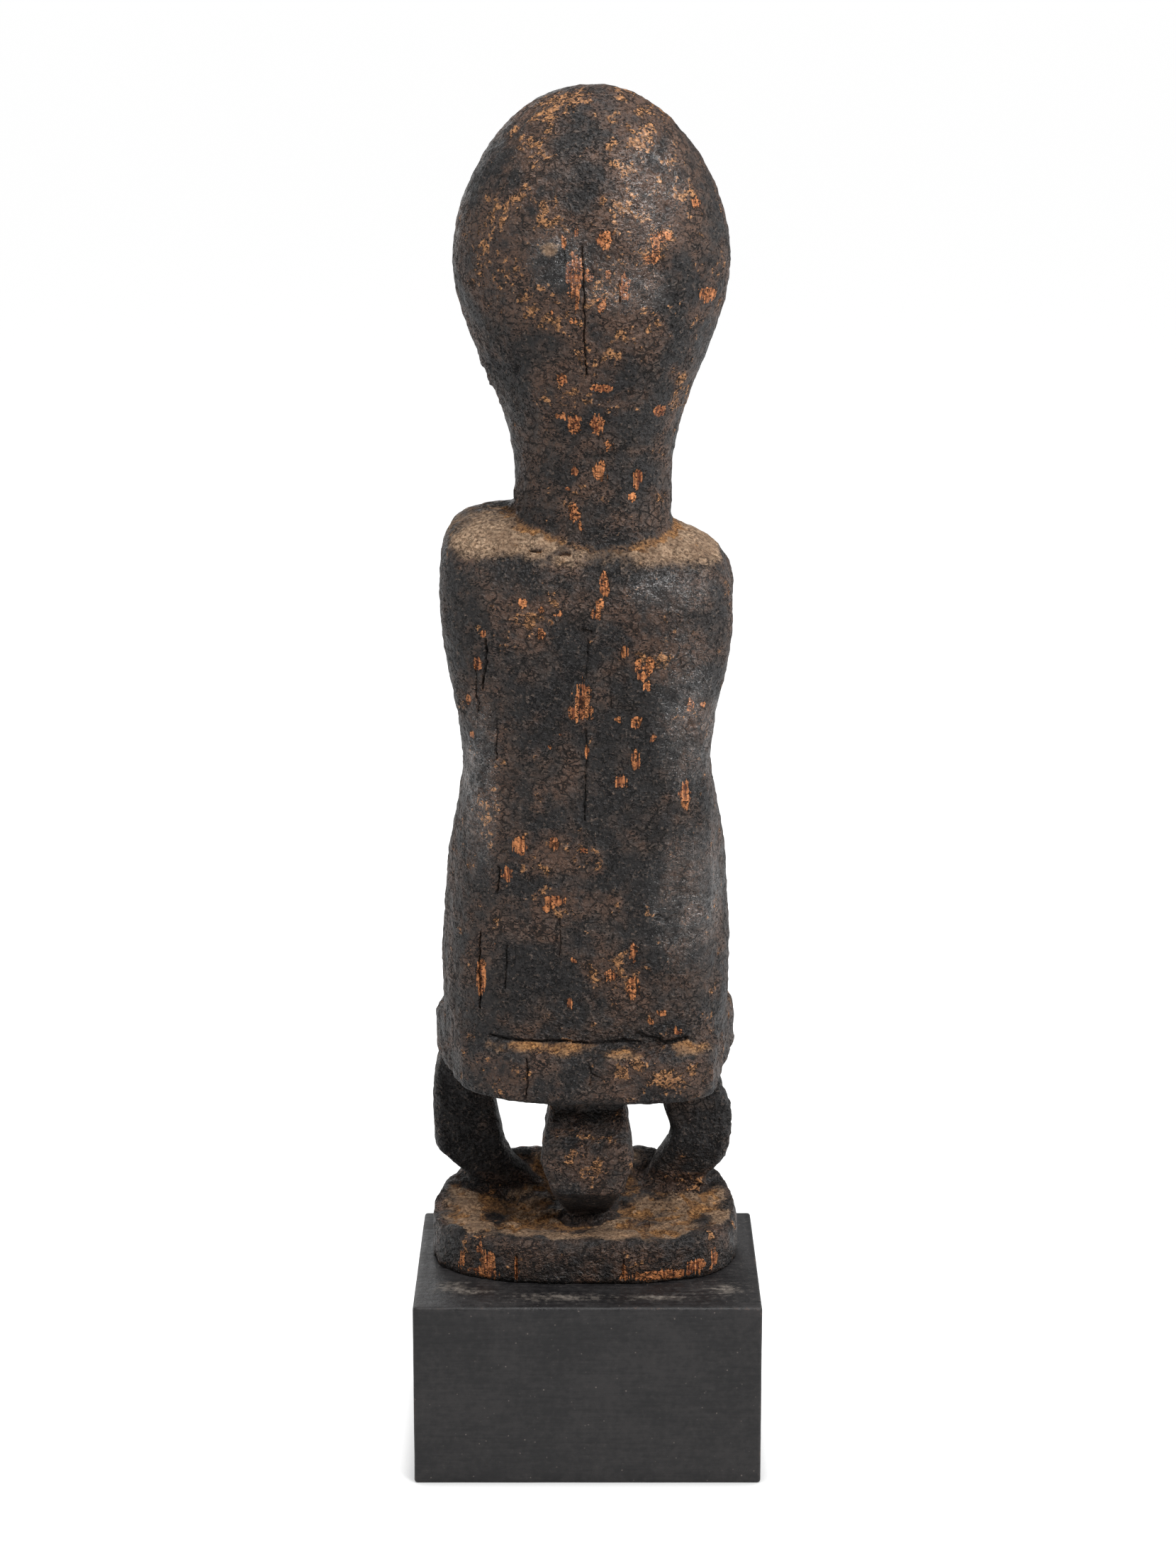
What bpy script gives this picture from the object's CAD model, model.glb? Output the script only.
import math

import bmesh
import bpy
import numpy as np
from mathutils import Matrix, Vector, noise
from mathutils.bvhtree import BVHTree


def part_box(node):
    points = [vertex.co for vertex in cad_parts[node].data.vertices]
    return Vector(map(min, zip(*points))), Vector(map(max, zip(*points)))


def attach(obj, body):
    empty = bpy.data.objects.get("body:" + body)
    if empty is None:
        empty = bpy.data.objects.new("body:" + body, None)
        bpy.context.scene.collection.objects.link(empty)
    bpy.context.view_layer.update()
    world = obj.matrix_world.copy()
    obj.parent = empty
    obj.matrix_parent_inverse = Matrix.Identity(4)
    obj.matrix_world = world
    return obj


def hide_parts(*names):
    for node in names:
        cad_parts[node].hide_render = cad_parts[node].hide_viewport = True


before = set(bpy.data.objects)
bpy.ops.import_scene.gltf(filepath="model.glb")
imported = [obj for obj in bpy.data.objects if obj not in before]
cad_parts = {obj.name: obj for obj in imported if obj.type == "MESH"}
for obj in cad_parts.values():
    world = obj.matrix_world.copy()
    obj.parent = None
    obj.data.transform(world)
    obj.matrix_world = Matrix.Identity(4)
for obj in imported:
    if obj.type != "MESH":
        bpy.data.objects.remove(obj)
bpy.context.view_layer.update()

# The viewpoint: a long lens behind the figure, a little above its head, tipped down so that the tops
# of the shoulders, the seat and the plinth show.
SENSOR_WIDTH = 36
LENS_LENGTH = 81.37
CAMERA_TIP = 13
camera = bpy.data.objects.new("camera", bpy.data.cameras.new("camera"))
bpy.context.scene.collection.objects.link(camera)
bpy.context.scene.camera = camera
camera.data.sensor_width = SENSOR_WIDTH
camera.data.lens = LENS_LENGTH
camera.location = (0.0002, -1.191, 0.5127)
camera.rotation_euler = (math.radians(90 - CAMERA_TIP), 0, 0)


# The carved figure: one block of hardwood, hewn and knife-cut into a squatting figure on a
# three-legged stool with a rounded base. Smoke, oil and handling have built a thick dark crust over
# it, which has since crazed, pitted and flaked off in places.
MM = 0.001
SKIN_VOXEL = 1.05 * MM
SKIN_SOFTENING = 3
SKIN_TRIANGLES = 190_000
SKIN_OVER_CAD = 0.2 * MM
SOLE_HEIGHT = 0.9 * MM

figure_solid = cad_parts["carved_figure"]
figure_low, figure_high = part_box("carved_figure")

rough = bmesh.new()
rough.from_mesh(figure_solid.data)
bmesh.ops.remove_doubles(rough, verts=rough.verts, dist=0.01 * MM)
figure_mesh = bpy.data.meshes.new("figure_skin")
rough.to_mesh(figure_mesh)
rough.free()
figure = bpy.data.objects.new("figure", figure_mesh)
bpy.context.scene.collection.objects.link(figure)


def apply_modifiers(piece):
    """Make a piece's mesh what its modifiers show, and take them off."""
    shown = piece.evaluated_get(bpy.context.evaluated_depsgraph_get())
    made = bpy.data.meshes.new_from_object(shown)
    piece.modifiers.clear()
    piece.data = made


skin = figure.modifiers.new("skin", "REMESH")
skin.mode = "VOXEL"
skin.voxel_size = SKIN_VOXEL
soften = figure.modifiers.new("soften", "SMOOTH")
soften.factor = 0.5
soften.iterations = SKIN_SOFTENING
apply_modifiers(figure)

# What is cut into the skin, in millimetres: a line of (across, up) points seen from the back or the
# front, how wide the cut is, and how deep.
BACK_CUTS = [
    ([(-1.7, 424), (-1.2, 411), (-1.0, 396), (-0.3, 382)], 0.24, 1.6),
    ([(-7.6, 426), (-7.3, 418)], 0.3, 0.7),
    ([(10.6, 413), (10.4, 406)], 0.3, 0.7),
    ([(-1.6, 297), (1.0, 296)], 0.6, 1.0),
    ([(0.2, 294), (-0.1, 286), (-0.3, 280)], 0.32, 0.8),
    ([(-0.6, 263), (-0.1, 254), (-0.9, 242), (-1.2, 231)], 0.3, 0.9),
    ([(7.4, 283), (7.9, 270)], 0.3, 0.6),
    ([(-19, 322.8), (-15.5, 322.6)], 0.6, 1.1),
    ([(-8.8, 321.6), (-6.2, 321.4)], 0.6, 1.1),
    ([(-9.2, 196), (-9.5, 183)], 0.28, 0.8),
    ([(-36.8, 190), (-37.1, 176), (-36.9, 163)], 0.45, 1.8),
    ([(-34.0, 293), (-34.2, 284), (-35.3, 276)], 0.5, 1.2),
    ([(-37.8, 284), (-37.0, 268)], 0.45, 1.0),
    ([(-30.4, 266), (-30.9, 252)], 0.4, 0.9),
    ([(-30.0, 214), (-30.6, 205)], 0.5, 1.0),
    ([(-27.6, 186), (-28.2, 171)], 0.35, 0.9),
    ([(-5.0, 151.9), (3.0, 151.5), (12.0, 152.2)], 0.45, 1.4),
    ([(17.5, 154.5), (20.5, 152.6), (24.5, 152.0)], 1.3, 1.5),
    ([(12, 152.4), (18, 151.6), (25, 151.4), (34, 152.6)], 0.8, 1.6),
    ([(-34, 153.4), (-26, 152.4), (-16, 152.0), (-6, 152.2)], 0.5, 1.3),
    ([(-20.8, 147.5), (-20.6, 140), (-21.2, 133.5)], 0.4, 0.9),
    ([(0.4, 147), (1.6, 143), (0.6, 138.5)], 0.35, 0.8),
    ([(1.6, 143), (4.6, 141)], 0.35, 0.8),
    ([(-24.9, 74), (-25.1, 66)], 0.6, 1.1),
    ([(12.5, 73), (12.3, 66.5)], 0.4, 0.9),
]
FRONT_CUTS = [
    ([(-6.8, 406.6), (-10, 404.6), (-15, 403.6), (-20, 404.6), (-23.6, 407.0)], 1.0, 1.5),
    ([(9.4, 406.6), (12.6, 404.6), (17.6, 403.6), (22.6, 404.6), (26.2, 407.0)], 1.0, 1.5),
    ([(-7.2, 380.9), (-3, 380.2), (1.3, 380.5), (5.6, 380.2), (9.8, 380.9)], 1.0, 1.5),
    ([(-2.6, 391.2), (-1.6, 391.2)], 1.2, 1.6),
    ([(4.2, 391.2), (5.2, 391.2)], 1.2, 1.6),
    ([(-16.0, 266.6), (-6.0, 265.2)], 0.8, 1.2),
    ([(-16.4, 263.2), (-6.0, 261.9)], 0.8, 1.2),
    ([(-15.6, 259.9), (-6.0, 258.7)], 0.8, 1.2),
    ([(16.2, 271.3), (6.0, 269.9)], 0.8, 1.2),
    ([(16.4, 267.9), (6.0, 266.6)], 0.8, 1.2),
    ([(15.6, 264.5), (6.0, 263.4)], 0.8, 1.2),
]
FOOT_MIDDLE = 30.5
TOE_SLITS = (-6.6, -2.2, 2.2, 6.4)
TOE_TIPS, TOE_ROOTS = 157, 165
for side in (-1, 1):
    for toe in TOE_SLITS:
        across = side * (FOOT_MIDDLE + toe)
        FRONT_CUTS.append(([(across, TOE_TIPS), (across, TOE_ROOTS)], 0.9, 1.3))

# How far the knife strayed from each line and over what length, how far apart a line's points are
# laid, and how far off the figure they are aimed from, in metres.
BACK_WANDER, FRONT_WANDER = 0.7, 0.2
WANDER_LENGTH = 2.1
CUT_STEP = 1.3
LEAST_STEP = 0.1 * MM
AIM_FROM = 0.2


def cuts_on(surface, cuts, looking, wander):
    """Each cut's line on the surface, wandering a little: from the back (1) or the front (-1)."""
    laid = []
    for line, width, depth in cuts:
        points = []
        for start, end in zip(line, line[1:]):
            steps = max(1, round(math.dist(start, end) / CUT_STEP))
            for step in range(steps + 1):
                across, up = Vector(start).lerp(Vector(end), step / steps)
                astray = wander * noise.noise(Vector((across, looking * 5, up)) / WANDER_LENGTH)
                aim = Vector(((across + astray) * MM, -looking * AIM_FROM, (up + astray * 0.4) * MM))
                hit = surface.ray_cast(aim, Vector((0, looking, 0)))[0]
                if hit is None:
                    continue
                if not points or np.linalg.norm(points[-1] - np.array(hit)) > LEAST_STEP:
                    points.append(np.array(hit))
        if len(points) > 1:
            laid.append((points, width * MM, depth * MM))
    return laid


def off_line(places, line):
    """How far each place is from a line of points."""
    nearest = np.full(len(places), np.inf)
    for start, end in zip(line, line[1:]):
        along = end - start
        share = np.clip((places - start) @ along / (along @ along), 0, 1)
        off = places - start - share[:, None] * along
        nearest = np.minimum(nearest, np.linalg.norm(off, axis=1))
    return nearest


carving = bmesh.new()
carving.from_mesh(figure.data)
surface = BVHTree.FromBMesh(carving)
cuts = (cuts_on(surface, BACK_CUTS, 1, BACK_WANDER)
        + cuts_on(surface, FRONT_CUTS, -1, FRONT_WANDER))

# The skin is made finer along every cut before it is cut, twice: to so many widths, and a margin.
FINER_REACHES = (1.6, 1.0)
FINER_MARGIN = 0.5 * MM
for reach in FINER_REACHES:
    places = np.array([vertex.co for vertex in carving.verts])
    near = np.zeros(len(places), bool)
    for line, width, depth in cuts:
        near |= off_line(places, line) < width * reach + FINER_MARGIN
    carving.verts.index_update()
    finer = [edge for edge in carving.edges
             if near[edge.verts[0].index] or near[edge.verts[1].index]]
    bmesh.ops.subdivide_edges(carving, edges=finer, cuts=1, use_grid_fill=True)
bmesh.ops.triangulate(carving, faces=[face for face in carving.faces if len(face.verts) > 3])


# A patch's share falls to nothing where its squared reach, in its own half sizes, comes to this.
PATCH_FADE = 2.2


def patch_share(places, patches):
    """How much each place lies in any of the patches (across, up, half width, half height)."""
    most = np.zeros(len(places))
    for across, up, wide, tall in patches:
        off = ((places[:, 0] / MM - across) / wide) ** 2 + ((places[:, 2] / MM - up) / tall) ** 2
        most = np.maximum(most, 1 - off / PATCH_FADE)
    return np.clip(most, 0, 1)


# The skin's unevenness in millimetres, as (how high, how wide) for each scale of it. Weathered grain
# is drawn along the wood, pits gather in groups, and the base's top has flaked in two levels.
HEWING = ((0.40, 16), (0.26, 6.5))
CRUST = ((0.32, 3.1), (0.24, 1.7))
GRAIN_HEIGHT, GRAIN_WIDTH, GRAIN_LENGTH = 0.16, 1.9, 17
PIT_DEPTH, PIT_REACH, PIT_WIDTH, PIT_LENGTH, PIT_GROUPS = 0.75, 0.24, 4.6, 6.5, 21
FLAKE_HEIGHT, FLAKE_WIDTH, FLAKE_RAGGED, FLAKES_BELOW, FLAKES_FACING = 0.55, 13, 4.6, 96, 0.6


def relief(place, facing):
    """How far the skin stands proud at a place: hewing marks, weathered grain, crust and pits."""
    p = place / MM
    hewn = sum(high * noise.noise(p / wide) for high, wide in HEWING)
    crust = sum(high * noise.noise(p / wide) for high, wide in CRUST)
    sides = min(abs(facing.x) * 1.3, 1.0)
    lengthwise = Vector((p.x / GRAIN_WIDTH, p.y / GRAIN_WIDTH, p.z / GRAIN_LENGTH))
    grain = GRAIN_HEIGHT * sides * noise.noise(lengthwise)
    near, _ = noise.voronoi(Vector((p.x / PIT_WIDTH, p.y / PIT_WIDTH, p.z / PIT_LENGTH)))
    chosen = noise.noise(p / PIT_GROUPS) > 0.02
    pit = -PIT_DEPTH * max(0.0, 1 - near[0] / PIT_REACH) if chosen else 0.0
    flakes = 0.0
    if p.z < FLAKES_BELOW and facing.z > FLAKES_FACING:
        level = (noise.noise(Vector((p.x / FLAKE_WIDTH, p.y / FLAKE_WIDTH, 3)))
                 + 0.35 * noise.noise(Vector((p.x / FLAKE_RAGGED, p.y / FLAKE_RAGGED, 9))))
        flat = min(1.0, (facing.z - FLAKES_FACING) * 4)
        flakes = FLAKE_HEIGHT * min(max(level / 0.05, -1), 1) * flat
    return (hewn + crust + grain + pit + flakes) * MM


# Flats hewn on the stool's legs, in millimetres: the corners of the space each is in, a point on it
# and the way it faces.
NEAR_LEG = ((-19, -26, 80.6), (19, 2, 126))
LEFT_LEG = ((-58, 12, 84), (-15, 26, 128))
RIGHT_LEG = ((15, 12, 84), (58, 26, 128))
FLATS = [
    (*NEAR_LEG, (0, -23.2, 105), (0, -1, 0)),
    (*NEAR_LEG, (0, -12.3, 89.4), (0, -0.563, -0.826)),
    (*NEAR_LEG, (0, -18.2, 118.0), (0, -0.717, 0.697)),
    (*NEAR_LEG, (14.2, 0, 102.0), (0.939, 0, -0.345)),
    (*NEAR_LEG, (-14.2, 0, 102.0), (-0.939, 0, -0.345)),
    (*NEAR_LEG, (14.7, 0, 115.3), (0.983, 0, 0.184)),
    (*NEAR_LEG, (-14.7, 0, 115.3), (-0.983, 0, 0.184)),
    (*LEFT_LEG, (-40, 16.5, 110), (0, -1, 0)),
    (*LEFT_LEG, (-34, 19.6, 90), (0, -0.952, -0.306)),
    (*RIGHT_LEG, (40, 16.5, 110), (0, -1, 0)),
    (*RIGHT_LEG, (34, 19.6, 90), (0, -0.952, -0.306)),
]
MOST_HEWN = 2 * MM
# Where the surface is broken and lumpy: a middle, a reach each way, and how far it stands proud.
BROKEN = [
    ((-34, 0, 379), (7, 24, 9), 1.3), ((-33, -20, 262), (9, 14, 42), 0.9),
    ((-24, -4, 335), (3, 8, 6), 1.6), ((50, 22, 108), (8, 14, 16), 1.1),
    ((34, 20, 92), (12, 8, 8), 0.8), ((46, -10, 150), (7, 16, 4), 1.3),
    ((-50, -4, 140), (7, 20, 9), 0.8), ((49, 0, 139), (6, 20, 9), 0.7),
    ((40, -10, 78), (16, 16, 3), 0.5),
]
KNOB_WIDTH, SMALL_KNOB_WIDTH = 2.6 * MM, 1.4 * MM
KNOB_FLOOR = -0.35

places = np.array([vertex.co for vertex in carving.verts])
for low_corner, high_corner, point, facing in FLATS:
    above, below = places > np.array(low_corner) * MM, places < np.array(high_corner) * MM
    inside = np.all(above & below, axis=1)
    beyond = np.clip((places - np.array(point) * MM) @ np.array(facing), 0, MOST_HEWN) * inside
    places -= beyond[:, None] * np.array(facing)
for vertex, place in zip(carving.verts, places):
    vertex.co = place
carving.normal_update()
facings = np.array([vertex.normal for vertex in carving.verts])
moved = np.array([relief(vertex.co, vertex.normal) for vertex in carving.verts])
for line, width, depth in cuts:
    share = np.clip(1 - (off_line(places, line) / width) ** 2, 0, 1)
    moved = np.minimum(moved, moved * (1 - share) - depth * share)
knobs = np.array([noise.noise(vertex.co / KNOB_WIDTH)
                  + 0.5 * noise.noise(vertex.co / SMALL_KNOB_WIDTH) for vertex in carving.verts])
for middle, reach, proud in BROKEN:
    off = (((places / MM - middle) / reach) ** 2).sum(axis=1)
    moved += np.exp(-off) * np.maximum(knobs, KNOB_FLOOR) * proud * MM

# The underside stays flat, and no place leaves the solid's box by more than a hair.
for vertex, place in zip(carving.verts, places + facings * moved[:, None]):
    vertex.co = place
    if vertex.co.z < figure_low.z + SOLE_HEIGHT:
        vertex.co.z = figure_low.z
    for axis in range(3):
        least = figure_low[axis] - SKIN_OVER_CAD
        vertex.co[axis] = min(max(vertex.co[axis], least), figure_high[axis] + SKIN_OVER_CAD)
carving.to_mesh(figure.data)
carving.free()

thin = figure.modifiers.new("thin", "DECIMATE")
thin.ratio = min(1.0, SKIN_TRIANGLES / len(figure.data.polygons))
apply_modifiers(figure)
for polygon in figure.data.polygons:
    polygon.use_smooth = True

# Where the crust is gone down to orange-brown wood, as patches on the back in millimetres: across,
# up, half width, half height.
BARE_BACK = [
    (-4.3, 414.2, 2.8, 7.0), (-3.4, 406.2, 1.0, 4.0), (0.8, 414.5, 1.6, 2.4),
    (-5.0, 399.9, 1.6, 1.2), (5.7, 426.2, 3.0, 3.0), (-3.8, 428.6, 1.1, 2.0),
    (-7.6, 425.2, 0.9, 2.2), (24.1, 426.8, 3.4, 1.8), (22.3, 421.7, 1.6, 3.9),
    (20.4, 419.4, 2.1, 1.6), (12.2, 411.3, 1.8, 4.8), (4.5, 405.5, 1.6, 2.6),
    (6.8, 414.9, 1.3, 1.6), (-11.8, 402.6, 0.9, 1.0), (-8.1, 380.3, 1.7, 2.1),
    (4.7, 377.5, 4.0, 1.2), (39.5, 406.9, 3.4, 2.6), (35.4, 437.1, 1.8, 2.0),
    (-8.8, 368.0, 1.8, 1.7), (-4.5, 365.0, 2.4, 3.4), (3.2, 365.1, 2.4, 3.6),
    (6.7, 357.6, 1.1, 1.8), (-4.2, 349.1, 1.5, 1.7), (4.3, 349.1, 2.4, 3.2),
    (16.9, 345.6, 1.6, 3.5), (14.9, 340.2, 1.5, 1.6), (-6.5, 342.8, 1.1, 1.2),
    (-4.5, 335.0, 1.7, 2.9), (-2.3, 330.5, 0.9, 2.0), (24.3, 368.5, 2.2, 2.3),
    (5.7, 311.8, 1.7, 4.3), (4.2, 306.0, 1.7, 2.0), (2.6, 301.9, 1.7, 2.0),
    (-21.4, 305.6, 2.2, 1.8), (-15.4, 303.6, 1.2, 1.7), (-15.6, 295.5, 1.2, 2.3),
    (-9.2, 302.5, 1.2, 1.2), (-36.7, 285.0, 1.7, 2.8), (-34.7, 295.1, 1.1, 1.6),
    (-40.0, 271.9, 1.1, 1.9), (12.5, 289.4, 1.6, 2.0), (16.9, 285.4, 1.4, 1.7),
    (20.9, 285.0, 1.5, 2.8), (18.1, 280.7, 1.8, 1.7), (19.9, 277.4, 1.2, 1.5),
    (-1.6, 273.5, 2.6, 6.5), (-2.8, 268.6, 3.8, 3.2), (34.5, 270.6, 1.2, 2.2),
    (38.6, 270.1, 1.2, 1.3), (10.5, 266.0, 1.1, 1.1), (16.3, 265.5, 1.5, 2.0),
    (21.8, 259.2, 1.3, 1.8), (16.1, 251.9, 1.7, 3.6), (11.1, 244.5, 2.3, 2.7),
    (-0.2, 254.9, 0.8, 2.2), (-8.9, 261.1, 0.8, 0.8), (-12.7, 256.6, 0.9, 0.9),
    (-38.8, 259.5, 1.0, 1.4), (33.1, 239.0, 1.8, 4.6), (-23.2, 222.0, 3.0, 3.2),
    (-11.2, 223.0, 1.7, 3.4), (-1.2, 220.0, 1.3, 2.0), (-27.4, 211.5, 1.7, 2.9),
    (-11.1, 202.5, 3.6, 2.3), (-14.0, 199.5, 1.6, 1.6), (-4.9, 180.6, 1.2, 2.0),
    (8.0, 175.6, 2.9, 2.4), (15.6, 183.7, 1.3, 3.8), (15.4, 171.5, 1.8, 4.6),
    (-36.5, 173.9, 1.9, 6.2), (-6.5, 166.0, 1.4, 1.8), (21.8, 159.0, 1.1, 1.4),
    (25.9, 161.9, 1.7, 1.2), (31.3, 155.2, 1.9, 1.4), (-37.5, 75.0, 1.1, 4.0),
    (-34.5, 70.5, 2.0, 4.5), (-36.3, 67.2, 5.6, 2.0), (-24.8, 69.0, 0.9, 5.0),
    (13.0, 69.0, 1.2, 2.8), (27.0, 67.2, 15.0, 1.8), (38.0, 69.0, 4.0, 3.0), (44.5, 71.0, 1.2, 4.0),
    (-44.0, 69.5, 1.2, 3.5),
]
# Where the crust is thin and ochre shows through it.
OCHRE_BACK = [
    (4.9, 466, 16, 6), (17, 457, 9, 8), (-20, 455, 8, 8), (-24, 440, 9, 10), (-12, 434, 8, 9),
    (12, 437, 9, 9), (24, 424, 9, 10), (-30, 420, 9, 14), (6, 416, 9, 12), (38, 412, 7, 12),
    (-14, 400, 10, 8), (10, 392, 14, 9), (0, 376, 16, 7), (30, 374, 7, 10), (18, 290, 10, 12),
    (-20, 300, 9, 9), (-14, 219, 12, 6), (-10, 202, 9, 5), (-34, 232, 4, 10), (10, 176, 9, 7),
    (24, 141, 16, 7), (-28, 141, 10, 5), (-1, 108, 7, 7), (36, 92, 6, 8), (2, 468, 30, 7),
    (18, 440, 16, 16),
]
# Where soot has left the crust blackest.
SOOT_BACK = [
    (-3, 460, 7, 7), (-1, 447, 5, 12), (33, 414, 9, 9), (19, 381, 12, 8), (-24, 385, 9, 12),
    (-30, 445, 9, 5), (12, 262, 10, 24), (24, 225, 9, 18), (-14, 270, 9, 20), (-20, 176, 14, 12),
    (4, 290, 14, 12), (14, 349, 6, 12),
]
# Where hands have polished it.
POLISHED_BACK = [
    (20, 441, 10, 15), (12, 411, 12, 7), (-8, 420, 9, 8), (28, 310, 12, 6), (33, 202, 10, 20),
    (33, 268, 8, 22), (-36, 243, 5, 26),
]
# A pale waxy spot on the head, left of its crack.
WAXY_BACK = [(-12.3, 422.9, 2.6, 2.2)]


def fill_mask(mesh, name, values):
    """Store one number for each point of a mesh, for its material to read."""
    mask = mesh.attributes.new(name, "FLOAT", "POINT")
    mask.data.foreach_set("value", np.clip(values, 0, 1).astype(np.float32))


def drawn_in(mesh, places, rounds):
    """The mesh's points after each has been moved to the middle of its neighbours a few times."""
    pairs = np.array([edge.vertices[:] for edge in mesh.edges])
    one, other = np.concatenate([pairs, pairs[:, ::-1]]).T
    shared = np.maximum(np.bincount(one, minlength=len(places)), 1)
    for _ in range(rounds):
        places = np.stack([np.bincount(one, places[other, axis], len(places)) / shared
                           for axis in range(3)], axis=1)
    return places


count = len(figure.data.vertices)
places = np.zeros(count * 3)
figure.data.vertices.foreach_get("co", places)
places = places.reshape(-1, 3)
facings = np.zeros(count * 3, np.float32)
figure.data.vertices.foreach_get("normal", facings)
facings = facings.reshape(-1, 3)
BULGE_ROUNDS, FACING_ROUNDS = 14, 12
bulge = ((places - drawn_in(figure.data, places, BULGE_ROUNDS)) * facings).sum(axis=1) / MM
broad = drawn_in(figure.data, facings, FACING_ROUNDS)
behind = np.clip(0.5 - broad[:, 1] * 2, 0, 1)
up = np.clip(broad[:, 2], 0, 1)
height = places[:, 2] / MM

# The far side wears as the back does, most of all on what stands proud: brow, nose, knees, hands.
SPOT_WIDTH = 9 * MM
bare = patch_share(places, BARE_BACK) * behind
ahead = np.clip(broad[:, 1] * 2, 0, 1)
spots = np.array([noise.noise(Vector(place) / SPOT_WIDTH + Vector((7, 3, 1))) for place in places])
bare = np.maximum(bare, ahead * np.clip(bulge * 0.7 + spots * 0.9 - 0.2, 0, 1))
ochre = np.maximum(patch_share(places, OCHRE_BACK) * behind, ahead * np.clip(0.1 + spots, 0, 1))

# Soot is blackest in its patches, on the two outer legs and on whatever faces down.
LEGS_FROM, LEGS_TO, OUTER_LEGS = 90, 131, 21
legs = (height > LEGS_FROM) & (height < LEGS_TO) & (np.abs(places[:, 0]) > OUTER_LEGS * MM)
sooted = patch_share(places, SOOT_BACK) * behind * np.clip(0.85 + spots * 1.5, 0, 1)
soot = np.maximum(np.maximum(sooted, legs * 0.8), np.clip(-broad[:, 2] * 1.6 - 0.4, 0, 1))
polished = np.maximum(patch_share(places, POLISHED_BACK) * behind,
                      ahead * np.clip(bulge * 1.2, 0, 0.8))

# Dust lies on the shoulders round the neck, on the seat's ledge, on the base and in the hollows.
# Each height is a middle and a reach in millimetres; off the neck, dust thins from near to far.
NECK_MIDDLE = (1.9, -1)
NECK_NEAR, NECK_FAR = 27, 28
SHOULDER_HEIGHT, SHOULDER_REACH = 324, 16
LEDGE_HEIGHT, LEDGE_REACH = 151, 7
FOOTING_HEIGHT, FOOTING_REACH = 84, 9
off_neck = np.hypot(places[:, 0] - NECK_MIDDLE[0] * MM, places[:, 1] - NECK_MIDDLE[1] * MM) / MM
shoulder = np.clip(1 - np.abs(height - SHOULDER_HEIGHT) / SHOULDER_REACH, 0, 1)
shoulder *= np.clip(up * 1.9 - 0.35, 0, 1)
shoulder *= np.clip(1.5 - (off_neck - NECK_NEAR) / NECK_FAR + spots * 0.6, 0, 1)
ledge = np.clip(1 - np.abs(height - LEDGE_HEIGHT) / LEDGE_REACH, 0, 1)
ledge *= np.clip(up * 2.4 - 0.5, 0, 1)
footing = np.clip(1.3 - np.abs(height - FOOTING_HEIGHT) / FOOTING_REACH, 0, 1)
footing *= np.clip(up * 4 - 2.7 + spots * 0.4, 0, 1)
waxy = patch_share(places, WAXY_BACK) * behind
dust = np.maximum(np.maximum(shoulder, ledge * np.clip(0.55 + spots * 1.2, 0, 1)),
                  np.maximum(footing * np.clip(0.8 + spots * 0.9, 0, 1), waxy))
hollow = np.maximum(np.clip(-bulge * 2.2 - 0.05, 0, 1), np.maximum(ledge * 0.5, footing * 0.22))

# Every cut is dark inside, to a little beyond its lips.
SLIT_REACH = 1.15
slit = np.zeros(count)
for line, width, depth in cuts:
    slit = np.maximum(slit, np.clip(SLIT_REACH - off_line(places, line) / width, 0, 1))

fill_mask(figure.data, "bare", bare)
fill_mask(figure.data, "ochre", ochre)
fill_mask(figure.data, "polished", polished)
fill_mask(figure.data, "dust", dust)
fill_mask(figure.data, "hollow", hollow)
fill_mask(figure.data, "slit", slit)
fill_mask(figure.data, "soot", soot)


# The finish is old hardwood under a smoke and oil crust. The crust is nearly black, dull in its pits
# and glossy where handled; bare wood is matt orange-brown with dark vertical pores.
def linear(hex_colour):
    """An sRGB hex colour as the linear colour that a shader takes."""
    parts = [int(hex_colour[k:k + 2], 16) / 255 for k in (1, 3, 5)]
    return (*[c / 12.92 if c <= 0.04045 else ((c + 0.055) / 1.055) ** 2.4 for c in parts], 1.0)


def add_node(tree, kind, inputs, **settings):
    """Add a node, set or link its inputs by name or place, and give its first output."""
    node = tree.nodes.new(kind)
    for name, value in settings.items():
        setattr(node, name, value)
    sockets = [socket for socket in node.inputs if socket.enabled]
    for key, value in inputs.items():
        socket = sockets[key] if isinstance(key, int) else node.inputs[key]
        if isinstance(value, bpy.types.NodeSocket):
            tree.links.new(value, socket)
        else:
            socket.default_value = value
    return next(socket for socket in node.outputs if socket.enabled)


patina = bpy.data.materials.new("smoke_crusted_hardwood")
patina.use_nodes = True
tree = patina.node_tree
shader = tree.nodes["Principled BSDF"]
spot = add_node(tree, "ShaderNodeTexCoord", {}).node.outputs["Object"]


def per(size):
    """The scale at which a pattern's spots come out this many millimetres wide."""
    return 1 / (size * MM)


def stretched(tree, where, *sizes):
    """Coordinates in which a pattern's spots come out this many millimetres along each axis."""
    return add_node(tree, "ShaderNodeMapping", {"Vector": where, "Scale": tuple(map(per, sizes))})


def noise_field(tree, where, scale, detail, roughness):
    """A field of cloudy noise."""
    return add_node(tree, "ShaderNodeTexNoise",
                    {"Vector": where, "Scale": scale, "Detail": detail, "Roughness": roughness})


def read_mask(tree, name):
    """A number stored at the mesh's points."""
    return add_node(tree, "ShaderNodeAttribute", {}, attribute_name=name).node.outputs["Fac"]


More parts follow.
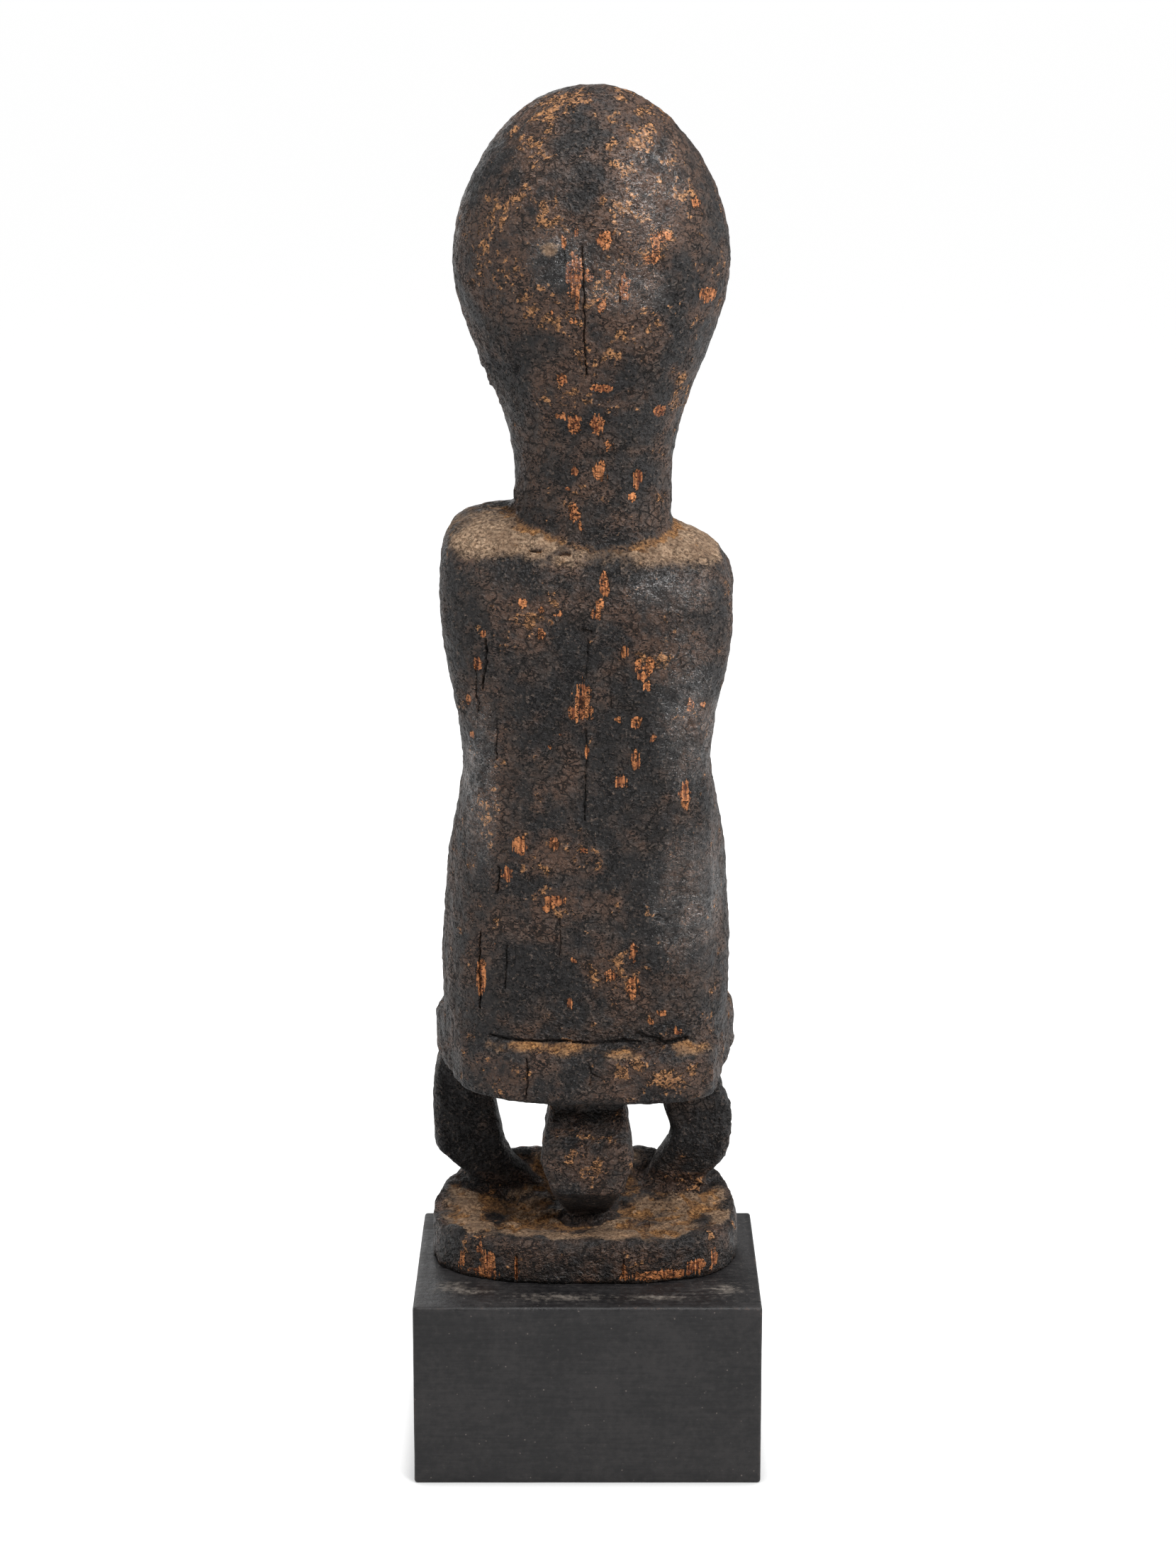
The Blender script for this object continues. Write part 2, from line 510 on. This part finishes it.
# The crust's clouds are 14 mm wide, its patches 7.5 mm, its lumps 3.2 mm and its grit 1.1 mm. It is
# crazed in scales of 4.4 x 3.2 mm, with dots 1.8 x 1.1 mm apart. The wood's pores are 0.5 mm wide,
# drawn at 0.8 mm so that they show, and run 14 mm along the grain.
clouds = noise_field(tree, spot, per(14), 4.0, 0.6)
patches = noise_field(tree, spot, per(7.5), 4.0, 0.55)
lumps = noise_field(tree, spot, per(3.2), 3.0, 0.55)
grit = noise_field(tree, spot, per(1.1), 2.0, 0.6)
pores = noise_field(tree, stretched(tree, spot, 0.8, 0.8, 14), 1.0, 3.0, 0.6)
shift = noise_field(tree, spot, per(2.5), 3.0, 0.5).node.outputs["Color"]
wandering = add_node(tree, "ShaderNodeVectorMath", {0: shift, 1: (2.2 * MM,) * 3, 2: spot},
                     operation="MULTIPLY_ADD")
netting = stretched(tree, wandering, 4.4, 4.4, 3.2)
crazing = add_node(tree, "ShaderNodeTexVoronoi", {"Vector": netting, "Scale": 1.0},
                   feature="DISTANCE_TO_EDGE")
dotting = stretched(tree, wandering, 1.8, 1.8, 1.1)
pitting = add_node(tree, "ShaderNodeTexVoronoi", {"Vector": dotting, "Scale": 1.0}, feature="F1")

masks = {name: read_mask(tree, name)
         for name in ("bare", "ochre", "polished", "dust", "hollow", "slit", "soot")}


def mixed(tree, *shares):
    """A sum of fields, each times its weight."""
    total = 0.0
    for field, weight in shares:
        total = add_node(tree, "ShaderNodeMath", {0: field, 1: weight, 2: total},
                         operation="MULTIPLY_ADD")
    return total


def edge_of(tree, field, low, high):
    """0 where a field is below low, 1 above high, smooth between."""
    return add_node(tree, "ShaderNodeMapRange",
                    {"Value": field, "From Min": low, "From Max": high},
                    interpolation_type="SMOOTHSTEP")


def times(tree, one, other):
    """The product of two fields."""
    return add_node(tree, "ShaderNodeMath", {0: one, 1: other}, operation="MULTIPLY")


# Cracks in the crust come and go. Most are short and wander, mostly across the grain; a few join up.
seams = noise_field(tree, netting, 1.0, 3.0, 0.55)
off_seam = add_node(tree, "ShaderNodeMath", {0: mixed(tree, (seams, 1.0), (1.0, -0.5))},
                    operation="ABSOLUTE")
wandered = times(tree, edge_of(tree, off_seam, 0.022, 0.008), edge_of(tree, patches, 0.42, 0.54))
netted = times(tree, edge_of(tree, crazing, 0.085, 0.025),
               edge_of(tree, mixed(tree, (clouds, 0.6), (lumps, 0.4)), 0.49, 0.58))
pitted = times(tree, edge_of(tree, pitting, 0.34, 0.2), edge_of(tree, lumps, 0.42, 0.55))
pinholed = times(tree, edge_of(tree, pitting, 0.36, 0.22), edge_of(tree, patches, 0.46, 0.56))
specked = edge_of(tree, grit, 0.37, 0.30)
crevices = edge_of(tree, pitting, 0.42, 0.85)

# Bare wood ends in a ragged edge with a dark rim of crust; ochre, brown and dust fade in and out.
# Each is a mask roughened by the fields above, from where it starts to where it is full.
grown = mixed(tree, (masks["bare"], 1.0), (pores, 1.3), (lumps, 1.3), (grit, 0.3))
bared = edge_of(tree, grown, 1.98, 2.10)
rimmed = edge_of(tree, grown, 1.86, 1.97)
thinned = edge_of(tree, mixed(tree, (patches, 0.7), (lumps, 0.65), (grit, 0.25),
                              (masks["ochre"], 0.14), (masks["soot"], -0.16)), 0.945, 1.02)
browned = edge_of(tree, mixed(tree, (patches, 0.5), (clouds, 0.5), (masks["ochre"], 0.12),
                              (masks["soot"], -0.12)), 0.46, 0.62)
dusted = edge_of(tree, mixed(tree, (masks["dust"], 1.1), (grit, 0.3), (lumps, 0.5),
                             (patches, 0.6), (clouds, 0.5)), 1.15, 1.75)
undusted = mixed(tree, (1.0, 1.0), (dusted, -0.55))
dark_spots = wandered
for field in (mixed(tree, (netted, 0.85)), pitted, pinholed, specked):
    dark_spots = add_node(tree, "ShaderNodeMath", {0: dark_spots, 1: field}, operation="MAXIMUM")
dark_spots = add_node(tree, "ShaderNodeMath",
                      {0: times(tree, dark_spots, undusted), 1: masks["slit"]},
                      operation="MAXIMUM")


def blend(tree, share, under, over):
    """One colour over another, by a share."""
    return add_node(tree, "ShaderNodeMix", {0: share, 1: under, 2: over}, data_type="RGBA")


# The colours, darkest and lightest of each where there are two.
CRUST_TONES = linear("#1b1919"), linear("#40352f")
BROWNED_TONE, DRY_TONE = linear("#563d2e"), linear("#564a42")
OCHRE_TONES = linear("#5e3f2a"), linear("#ac7a4e")
WOOD_TONES = linear("#542813"), linear("#b87749")
PALE_DUST_TONES = linear("#7b634e"), linear("#ae947a")
GATHERED_DUST_TONES = linear("#6a4526"), linear("#b0804e")
WORN_DUST_TONE = linear("#5a4433")
RIM_TONE, CREVICE_TONE, CRACK_TONE = linear("#100c0b"), linear("#0d0b0a"), linear("#070606")

# The crust first, then what shows through it, then the dust on it, then its cracks and pits.
cloudy = edge_of(tree, mixed(tree, (clouds, 0.7), (patches, 0.3), (masks["soot"], -0.1)), 0.40, 0.60)
colour = blend(tree, cloudy, *CRUST_TONES)
colour = blend(tree, mixed(tree, (browned, 0.55)), colour, BROWNED_TONE)
dried = times(tree, edge_of(tree, grit, 0.5, 0.72), edge_of(tree, lumps, 0.4, 0.62))
colour = blend(tree, dried, colour, DRY_TONE)
ochre_light = edge_of(tree, mixed(tree, (grit, 0.5), (lumps, 0.3), (clouds, 0.2)), 0.38, 0.62)
ochres = blend(tree, ochre_light, *OCHRE_TONES)
colour = blend(tree, mixed(tree, (thinned, 0.85)), colour, ochres)
woods = blend(tree, edge_of(tree, mixed(tree, (pores, 0.7), (clouds, 0.3)), 0.38, 0.60), *WOOD_TONES)
colour = blend(tree, mixed(tree, (rimmed, 0.7)), colour, RIM_TONE)
colour = blend(tree, bared, colour, woods)
pale_dust = blend(tree, edge_of(tree, grit, 0.35, 0.65), *PALE_DUST_TONES)
gathered_dust = blend(tree, edge_of(tree, grit, 0.35, 0.65), *GATHERED_DUST_TONES)
dusts = blend(tree, edge_of(tree, mixed(tree, (masks["hollow"], 1.2), (patches, 0.5)), 0.32, 0.9),
              pale_dust, gathered_dust)
worn_off = edge_of(tree, mixed(tree, (patches, 0.5), (clouds, 0.5)), 0.62, 0.38)
dusts = blend(tree, mixed(tree, (worn_off, 0.7)), dusts, WORN_DUST_TONE)
colour = blend(tree, mixed(tree, (dusted, 0.85)), colour, dusts)
colour = blend(tree, times(tree, mixed(tree, (crevices, 0.55)), undusted), colour, CREVICE_TONE)
colour = blend(tree, mixed(tree, (dark_spots, 0.93)), colour, CRACK_TONE)

# How far each field stands up, in metres, and how dull it makes the crust over handled gloss.
GLOSSIEST = 0.24
raised = mixed(tree, (grit, 0.0006), (lumps, 0.0015), (patches, 0.0014), (pitting, -0.0005),
               (dark_spots, -0.0007), (rimmed, -0.0004), (pores, 0.00015))
bumps = add_node(tree, "ShaderNodeBump", {"Strength": 1.0, "Distance": 1.0, "Height": raised})
dulled = mixed(tree, (lumps, 0.3), (masks["polished"], -0.2), (dusted, 0.4), (bared, 0.15),
               (clouds, 0.2), (thinned, 0.08), (masks["soot"], 0.12), (dark_spots, 0.3))
roughness = add_node(tree, "ShaderNodeMath", {0: dulled, 1: GLOSSIEST}, operation="ADD",
                     use_clamp=True)
tree.links.new(colour, shader.inputs["Base Color"])
tree.links.new(roughness, shader.inputs["Roughness"])
tree.links.new(bumps, shader.inputs["Normal"])
tree.links.new(bumps, shader.inputs["Coat Normal"])
broken = edge_of(tree, mixed(tree, (lumps, 0.5), (patches, 0.5)), 0.36, 0.58)
tree.links.new(times(tree, masks["polished"], broken), shader.inputs["Coat Weight"])
shader.inputs["Specular IOR Level"].default_value = 0.22
shader.inputs["Coat Roughness"].default_value = 0.17

figure.data.materials.clear()
figure.data.materials.append(patina)
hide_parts("carved_figure")
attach(figure, "root")


# The plinth: a later softwood block, planed and brushed with black paint that has dried nearly matt.
# It holds fine pale dust, is rubbed brown at its edges and is scuffed pale where the figure was
# set down on it.
PLINTH_CUTS = 47
ARRIS_ROUND = 1.0 * MM
# How deep and how wide its dips are, in millimetres, for each scale of them.
DIPS = ((0.14, 21), (0.05, 5))
plinth_low, plinth_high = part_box("plinth")
plinth_size = plinth_high - plinth_low
planed = bmesh.new()
bmesh.ops.create_cube(planed, size=1, matrix=Matrix.Translation((plinth_low + plinth_high) / 2)
                      @ Matrix.Diagonal((*plinth_size, 1)))
bmesh.ops.subdivide_edges(planed, edges=planed.edges[:], cuts=PLINTH_CUTS, use_grid_fill=True)
planed.normal_update()
arrises = [edge for edge in planed.edges if edge.calc_face_angle(0) > 1]
bmesh.ops.bevel(planed, geom=arrises, offset=ARRIS_ROUND, segments=3, profile=0.5,
                affect="EDGES", material=-1)
planed.normal_update()

# Planing and wear leave shallow dips. The underside stays flat.
for vertex in planed.verts:
    p = vertex.co / MM
    dip = sum(deep * max(0.0, noise.noise(p / wide)) for deep, wide in DIPS)
    if vertex.co.z > 0.5 * MM:
        vertex.co -= vertex.normal * dip * MM
plinth_mesh = bpy.data.meshes.new("plinth_block")
planed.to_mesh(plinth_mesh)
planed.free()
for polygon in plinth_mesh.polygons:
    polygon.use_smooth = True
plinth_block = bpy.data.objects.new("plinth_block", plinth_mesh)
bpy.context.scene.collection.objects.link(plinth_block)

places = np.zeros(len(plinth_mesh.vertices) * 3)
plinth_mesh.vertices.foreach_get("co", places)
places = places.reshape(-1, 3)
inward = np.minimum(places - np.array(plinth_low), np.array(plinth_high) - places)
walls = np.sort(inward, axis=1) / MM

# Edges are rubbed, and the top is scuffed in front of the figure's base: across, along, half width
# and half depth, in millimetres.
RUBBED_REACH = 2.2
SCUFFS = [(-48, -27, 7, 5), (-40, -33, 8, 3), (-10, -38, 16, 3.5), (24, -38, 12, 3), (48, -30, 6, 6)]
SCUFFED_LEAST, SCUFFED_MORE = 0.08, 0.45
fill_mask(plinth_mesh, "arris", 1 - walls[:, 1] / RUBBED_REACH)
scuffs = np.full(len(places), SCUFFED_LEAST)
for across, along, wide, deep in SCUFFS:
    off = ((places[:, 0] / MM - across) / wide) ** 2 + ((places[:, 1] / MM - along) / deep) ** 2
    scuffs += SCUFFED_MORE * np.exp(-off)
on_top = (places[:, 2] > plinth_high.z - 1.2 * MM) * (walls[:, 1] > 2)
fill_mask(plinth_mesh, "scuff", scuffs * on_top)

# The finish is matt black paint, a little grey where it is thin. Its brush strokes are 1.1 mm wide
# and 16 mm long, its mottle 2.2 mm and its clouds 22 mm; pale specks of dust are under 1 mm wide
# and about 2.6 mm apart.
paint = bpy.data.materials.new("brushed_black_paint")
paint.use_nodes = True
tree = paint.node_tree
shader = tree.nodes["Principled BSDF"]
spot = add_node(tree, "ShaderNodeTexCoord", {}).node.outputs["Object"]
arris = read_mask(tree, "arris")
scuff = read_mask(tree, "scuff")
clouds = noise_field(tree, spot, per(22), 5.0, 0.6)
strokes = noise_field(tree, stretched(tree, spot, 16, 1.1, 1.1), 1.0, 4.0, 0.6)
mottle = noise_field(tree, spot, per(2.2), 4.0, 0.65)
specks = add_node(tree, "ShaderNodeTexVoronoi", {"Vector": spot, "Scale": per(2.6)}, feature="F1")
PAINT_TONES = linear("#131213"), linear("#262424")
FLECK_TONE, RUBBED_TONE, DUSTY_TONE = linear("#857a73"), linear("#5e4636"), linear("#a0958a")
thinly = edge_of(tree, mixed(tree, (clouds, 0.4), (strokes, 0.25), (mottle, 0.35)), 0.40, 0.62)
colour = blend(tree, thinly, *PAINT_TONES)
flecked = times(tree, edge_of(tree, specks, 0.14, 0.05), edge_of(tree, mottle, 0.47, 0.62))
colour = blend(tree, mixed(tree, (flecked, 0.4)), colour, FLECK_TONE)
rubbed = edge_of(tree, mixed(tree, (arris, 0.8), (mottle, 1.6), (clouds, 0.8)), 1.95, 2.3)
colour = blend(tree, mixed(tree, (rubbed, 0.6)), colour, RUBBED_TONE)
dusty = edge_of(tree, mixed(tree, (scuff, 1.0), (mottle, 1.1), (strokes, 0.6)), 1.02, 2.1)
colour = blend(tree, mixed(tree, (dusty, 0.75)), colour, DUSTY_TONE)
raised = mixed(tree, (strokes, 0.00018), (clouds, 0.0004), (mottle, 0.00025))
bumps = add_node(tree, "ShaderNodeBump", {"Strength": 1.0, "Distance": 1.0, "Height": raised})
roughness = mixed(tree, (strokes, 0.3), (clouds, 0.4), (mottle, 0.3))
tree.links.new(colour, shader.inputs["Base Color"])
tree.links.new(roughness, shader.inputs["Roughness"])
tree.links.new(bumps, shader.inputs["Normal"])
shader.inputs["Specular IOR Level"].default_value = 0.3
plinth_block.data.materials.append(paint)
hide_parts("plinth")
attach(plinth_block, "root")


# The floor: a white acrylic light table that runs out of sight and glows nearly as white as the
# room. It glows less within 8 mm of the plinth, which leaves the thin soft shadow at its foot.
TABLE_HALF = 40.0
SHADOW_REACH = 8 * MM
TABLE_GLOW = 0.93
floor_form = bmesh.new()
bmesh.ops.create_grid(floor_form, x_segments=1, y_segments=1, size=TABLE_HALF)
floor_mesh = bpy.data.meshes.new("floor")
floor_form.to_mesh(floor_mesh)
floor_form.free()
floor = bpy.data.objects.new("floor", floor_mesh)
bpy.context.scene.collection.objects.link(floor)
white = bpy.data.materials.new("white_light_table_acrylic")
white.use_nodes = True
glow = white.node_tree.nodes["Principled BSDF"]
glow.inputs["Base Color"].default_value = linear("#7a7a7a")
glow.inputs["Roughness"].default_value = 0.9
glow.inputs["Emission Color"].default_value = (1, 1, 1, 1)
shade = add_node(white.node_tree, "ShaderNodeAmbientOcclusion", {"Distance": SHADOW_REACH},
                 samples=6).node.outputs["AO"]
lit = add_node(white.node_tree, "ShaderNodeMapRange",
               {"Value": shade, "To Min": 0.0, "To Max": TABLE_GLOW})
white.node_tree.links.new(lit, glow.inputs["Emission Strength"])
floor.data.materials.append(white)


# The light: a small softbox high on the right gives the sheen on the head, the shoulder and the hip,
# one overhead lights the tops, and the others fill the sides. Each row has a place and a width and
# height in metres, and a power in watts.
SOFTBOXES = [
    ("softbox_right", (0.72, -1.05, 1.15), 0.34, 0.42, 26),
    ("softbox_left_side", (-1.45, 0.1, 0.45), 0.5, 0.9, 8),
    ("softbox_right_side", (1.45, 0.3, 0.45), 0.4, 0.9, 8),
    ("softbox_overhead", (0.15, -0.1, 1.7), 0.9, 0.9, 26),
    ("softbox_far", (-0.6, 1.6, 0.8), 1.1, 0.9, 7),
]
FIGURE_MIDDLE = Vector((0, 0, 0.3))


def add_softbox(name, place, wide, tall, power):
    """An upright soft light that faces the figure's middle."""
    light = bpy.data.lights.new(name, "AREA")
    light.shape = "RECTANGLE"
    light.size = wide
    light.size_y = tall
    light.energy = power
    made = bpy.data.objects.new(name, light)
    made.location = place
    made.rotation_euler = (FIGURE_MIDDLE - Vector(place)).to_track_quat("-Z", "Y").to_euler()
    bpy.context.scene.collection.objects.link(made)


for softbox in SOFTBOXES:
    add_softbox(*softbox)

# The room is full white to the eye and lights the figure at a quarter of that.
ROOM_LIGHT, ROOM_SEEN = 0.25, 1.0
room = bpy.data.worlds.new("white_room")
room.use_nodes = True
backdrop = add_node(room.node_tree, "ShaderNodeLightPath", {}).node.outputs["Is Camera Ray"]
brightness = add_node(room.node_tree, "ShaderNodeMapRange",
                      {"Value": backdrop, "To Min": ROOM_LIGHT, "To Max": ROOM_SEEN})
room.node_tree.nodes["Background"].inputs["Color"].default_value = (1, 1, 1, 1)
room.node_tree.links.new(brightness, room.node_tree.nodes["Background"].inputs["Strength"])
bpy.context.scene.world = room
bpy.context.scene.view_settings.view_transform = "Standard"
